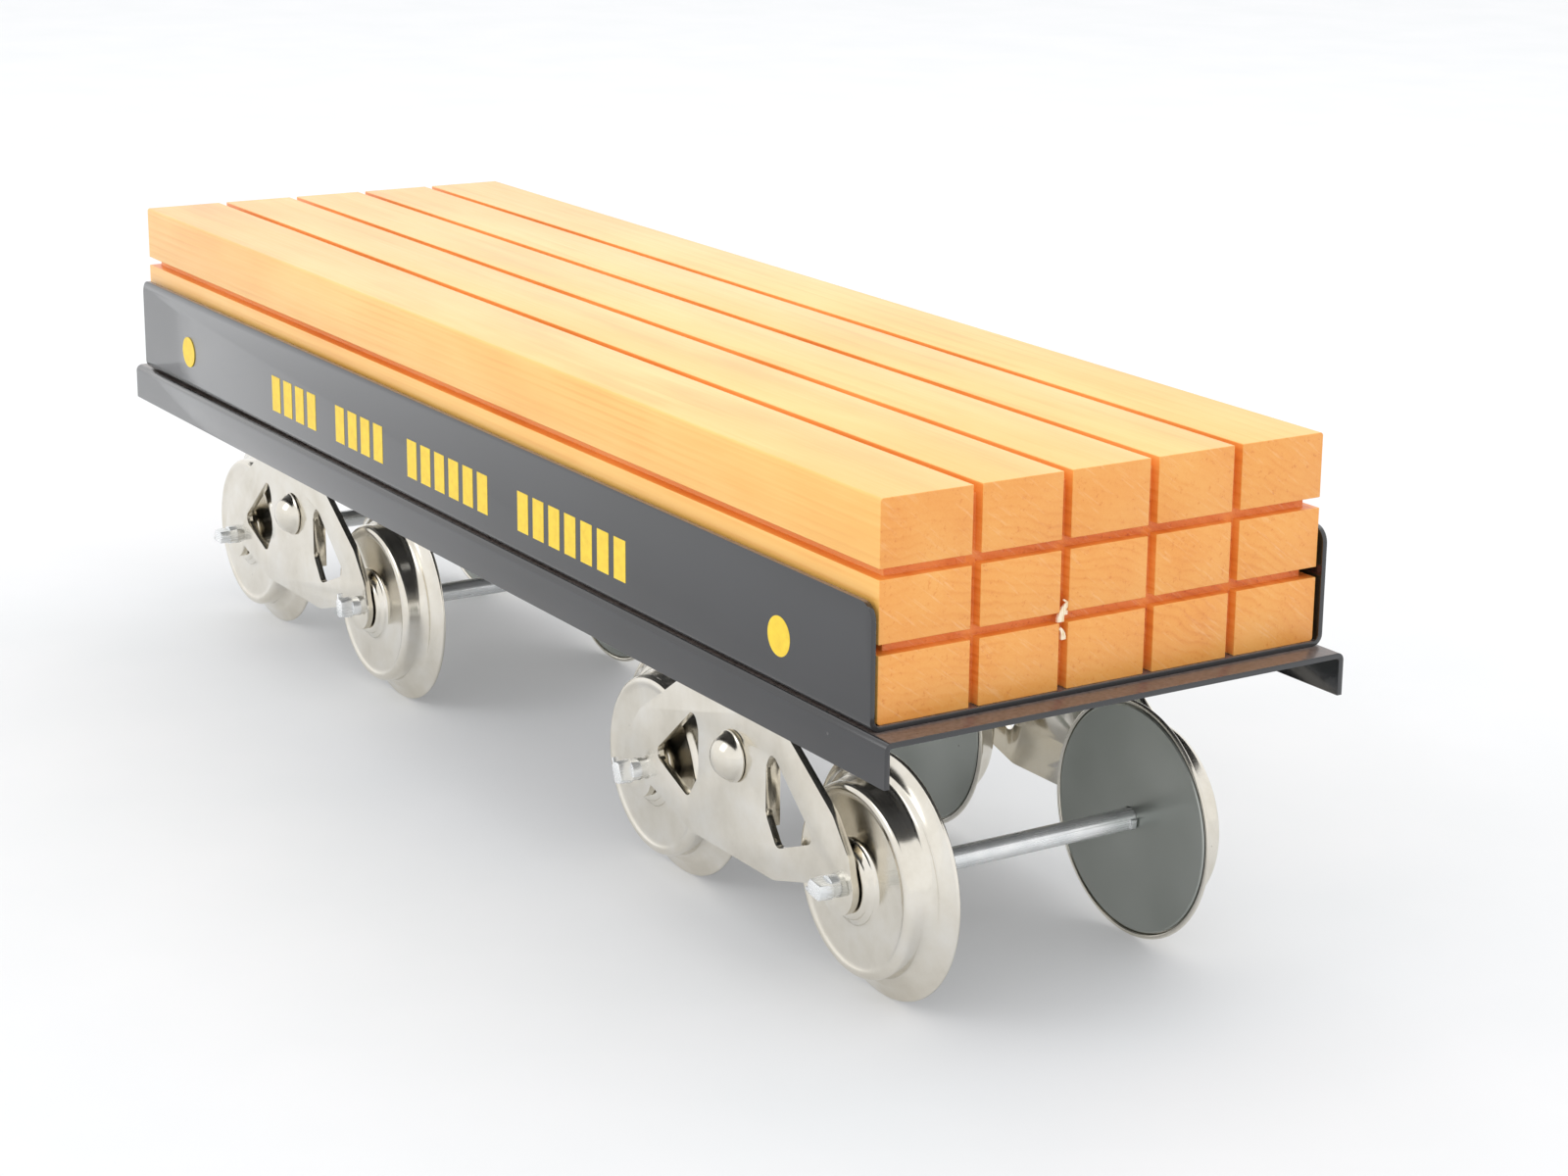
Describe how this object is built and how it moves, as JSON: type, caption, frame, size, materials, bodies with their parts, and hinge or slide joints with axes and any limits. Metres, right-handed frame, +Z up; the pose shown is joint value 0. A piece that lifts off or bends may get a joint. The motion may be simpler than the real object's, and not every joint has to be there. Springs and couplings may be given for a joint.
{
  "type": "model flat car",
  "caption": "Toy-train flat car: pressed-metal deck on swivelling wheeled trucks, with a shallow tray holding a wood block grooved to look like stacked boards.",
  "frame": {"origin": "centre of the car's footprint on the plane that the wheel flanges stand on", "axes": "+X along the car towards the front truck, +Y across the car to its left, +Z up"},
  "size_m": [0.316, 0.0934, 0.0945],
  "materials": {
    "stained_wood": "orange-stained softwood under thin clear lacquer",
    "black_enamel": "gloss black baked enamel",
    "nickel_plate": "bright nickel plate",
    "zinc_steel": "bright zinc plate",
    "grey_steel": "matt grey bare steel"
  },
  "bodies": {
    "car": {"load_block": "stained_wood", "load_tray": "black_enamel", "deck_frame": "black_enamel", "load_screws": "zinc_steel", "front_kingpin": "zinc_steel", "rear_kingpin": "zinc_steel", "front_washer": "zinc_steel", "rear_washer": "zinc_steel"},
    "front_swivel": {"front_bolster": "nickel_plate", "front_side_rivet_left": "nickel_plate", "front_side_rivet_right": "nickel_plate"},
    "front_truck": {"front_sideframe_left": "nickel_plate", "front_sideframe_right": "nickel_plate", "front_outer_axle": "zinc_steel", "front_inner_axle": "zinc_steel"},
    "front_outer_wheel_left_body": {"front_outer_wheel_left": "nickel_plate", "front_outer_wheel_back_left": "grey_steel"},
    "front_outer_wheel_right_body": {"front_outer_wheel_right": "nickel_plate", "front_outer_wheel_back_right": "grey_steel"},
    "front_inner_wheel_left_body": {"front_inner_wheel_left": "nickel_plate", "front_inner_wheel_back_left": "grey_steel"},
    "front_inner_wheel_right_body": {"front_inner_wheel_right": "nickel_plate", "front_inner_wheel_back_right": "grey_steel"},
    "rear_swivel": {"rear_bolster": "nickel_plate", "rear_side_rivet_left": "nickel_plate", "rear_side_rivet_right": "nickel_plate"},
    "rear_truck": {"rear_sideframe_left": "nickel_plate", "rear_sideframe_right": "nickel_plate", "rear_outer_axle": "zinc_steel", "rear_inner_axle": "zinc_steel"},
    "rear_outer_wheel_left_body": {"rear_outer_wheel_left": "nickel_plate", "rear_outer_wheel_back_left": "grey_steel"},
    "rear_outer_wheel_right_body": {"rear_outer_wheel_right": "nickel_plate", "rear_outer_wheel_back_right": "grey_steel"},
    "rear_inner_wheel_left_body": {"rear_inner_wheel_left": "nickel_plate", "rear_inner_wheel_back_left": "grey_steel"},
    "rear_inner_wheel_right_body": {"rear_inner_wheel_right": "nickel_plate", "rear_inner_wheel_back_right": "grey_steel"}
  },
  "joints": [
    {"name": "front_truck_swivel", "type": "hinge", "parent": "car", "child": "front_swivel", "pos_m": [0.0945, 0, 0.055], "axis": [0, 0, 1], "continuous": true},
    {"name": "front_truck_rock", "type": "hinge", "parent": "front_swivel", "child": "front_truck", "pos_m": [0.0945, 0, 0.0343], "axis": [0, 1, 0], "range_deg": [-5, 5]},
    {"name": "front_outer_wheel_left_spin", "type": "hinge", "parent": "front_truck", "child": "front_outer_wheel_left_body", "pos_m": [0.1281, 0, 0.0217], "axis": [0, 1, 0], "continuous": true},
    {"name": "front_outer_wheel_right_spin", "type": "hinge", "parent": "front_truck", "child": "front_outer_wheel_right_body", "pos_m": [0.1281, 0, 0.0217], "axis": [0, 1, 0], "continuous": true},
    {"name": "front_inner_wheel_left_spin", "type": "hinge", "parent": "front_truck", "child": "front_inner_wheel_left_body", "pos_m": [0.0609, 0, 0.0217], "axis": [0, 1, 0], "continuous": true},
    {"name": "front_inner_wheel_right_spin", "type": "hinge", "parent": "front_truck", "child": "front_inner_wheel_right_body", "pos_m": [0.0609, 0, 0.0217], "axis": [0, 1, 0], "continuous": true},
    {"name": "rear_truck_swivel", "type": "hinge", "parent": "car", "child": "rear_swivel", "pos_m": [-0.0945, 0, 0.055], "axis": [0, 0, 1], "continuous": true},
    {"name": "rear_truck_rock", "type": "hinge", "parent": "rear_swivel", "child": "rear_truck", "pos_m": [-0.0945, 0, 0.0343], "axis": [0, 1, 0], "range_deg": [-5, 5]},
    {"name": "rear_outer_wheel_left_spin", "type": "hinge", "parent": "rear_truck", "child": "rear_outer_wheel_left_body", "pos_m": [-0.1281, 0, 0.0217], "axis": [0, 1, 0], "continuous": true},
    {"name": "rear_outer_wheel_right_spin", "type": "hinge", "parent": "rear_truck", "child": "rear_outer_wheel_right_body", "pos_m": [-0.1281, 0, 0.0217], "axis": [0, 1, 0], "continuous": true},
    {"name": "rear_inner_wheel_left_spin", "type": "hinge", "parent": "rear_truck", "child": "rear_inner_wheel_left_body", "pos_m": [-0.0609, 0, 0.0217], "axis": [0, 1, 0], "continuous": true},
    {"name": "rear_inner_wheel_right_spin", "type": "hinge", "parent": "rear_truck", "child": "rear_inner_wheel_right_body", "pos_m": [-0.0609, 0, 0.0217], "axis": [0, 1, 0], "continuous": true}
  ]
}
